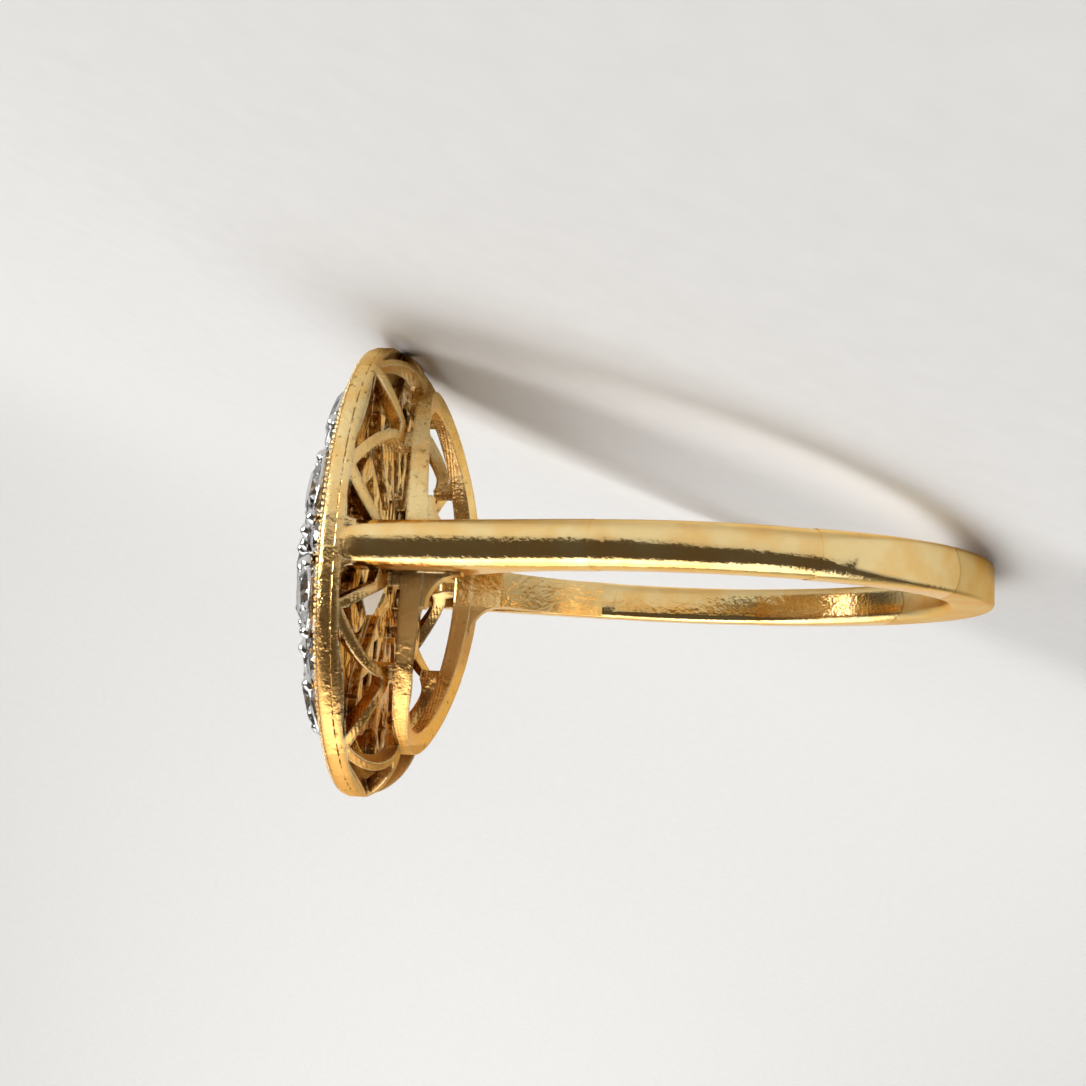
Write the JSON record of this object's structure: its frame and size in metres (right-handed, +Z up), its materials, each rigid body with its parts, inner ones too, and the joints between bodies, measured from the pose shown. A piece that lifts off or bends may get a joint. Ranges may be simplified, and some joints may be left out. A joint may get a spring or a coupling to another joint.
{
  "type": "daisy ring",
  "caption": "Yellow gold cluster ring with a round daisy head of white metal petals and clear stones on an arched openwork gallery, lying on its side.",
  "frame": {"origin": "middle of the lying ring's bounding box, on the surface it lies on", "axes": "+Z up from the surface; the flower faces -Y, slightly downwards; the shank's back is towards +Y; X runs across the finger hole"},
  "size_m": [0.0204, 0.0228, 0.0144],
  "materials": {
    "yellow_gold": "polished, with satin and cast areas",
    "white_gold": "polished",
    "clear_stone": "faceted, clear"
  },
  "bodies": {
    "root": {"gold_mount": "yellow_gold", "centre_setting": "white_gold", "centre_stone": "clear_stone", "petal_setting_1": "white_gold", "petal_setting_2": "white_gold", "petal_setting_3": "white_gold", "petal_setting_4": "white_gold", "petal_setting_5": "white_gold", "petal_setting_6": "white_gold", "petal_setting_7": "white_gold", "petal_setting_8": "white_gold", "petal_setting_9": "white_gold", "petal_setting_10": "white_gold", "petal_stone_1": "clear_stone", "petal_stone_2": "clear_stone", "petal_stone_3": "clear_stone", "petal_stone_4": "clear_stone", "petal_stone_5": "clear_stone", "petal_stone_6": "clear_stone", "petal_stone_7": "clear_stone", "petal_stone_8": "clear_stone", "petal_stone_9": "clear_stone", "petal_stone_10": "clear_stone", "petal_stone_11": "clear_stone", "petal_stone_12": "clear_stone", "petal_stone_13": "clear_stone", "petal_stone_14": "clear_stone", "petal_stone_15": "clear_stone", "petal_stone_16": "clear_stone", "petal_stone_17": "clear_stone", "petal_stone_18": "clear_stone", "petal_stone_19": "clear_stone", "petal_stone_20": "clear_stone", "petal_stone_21": "clear_stone", "petal_stone_22": "clear_stone", "petal_stone_23": "clear_stone", "petal_stone_24": "clear_stone", "petal_stone_25": "clear_stone", "petal_stone_26": "clear_stone", "petal_stone_27": "clear_stone", "petal_stone_28": "clear_stone", "petal_stone_29": "clear_stone", "petal_stone_30": "clear_stone", "edge_stones": "clear_stone"}
  },
  "joints": []
}
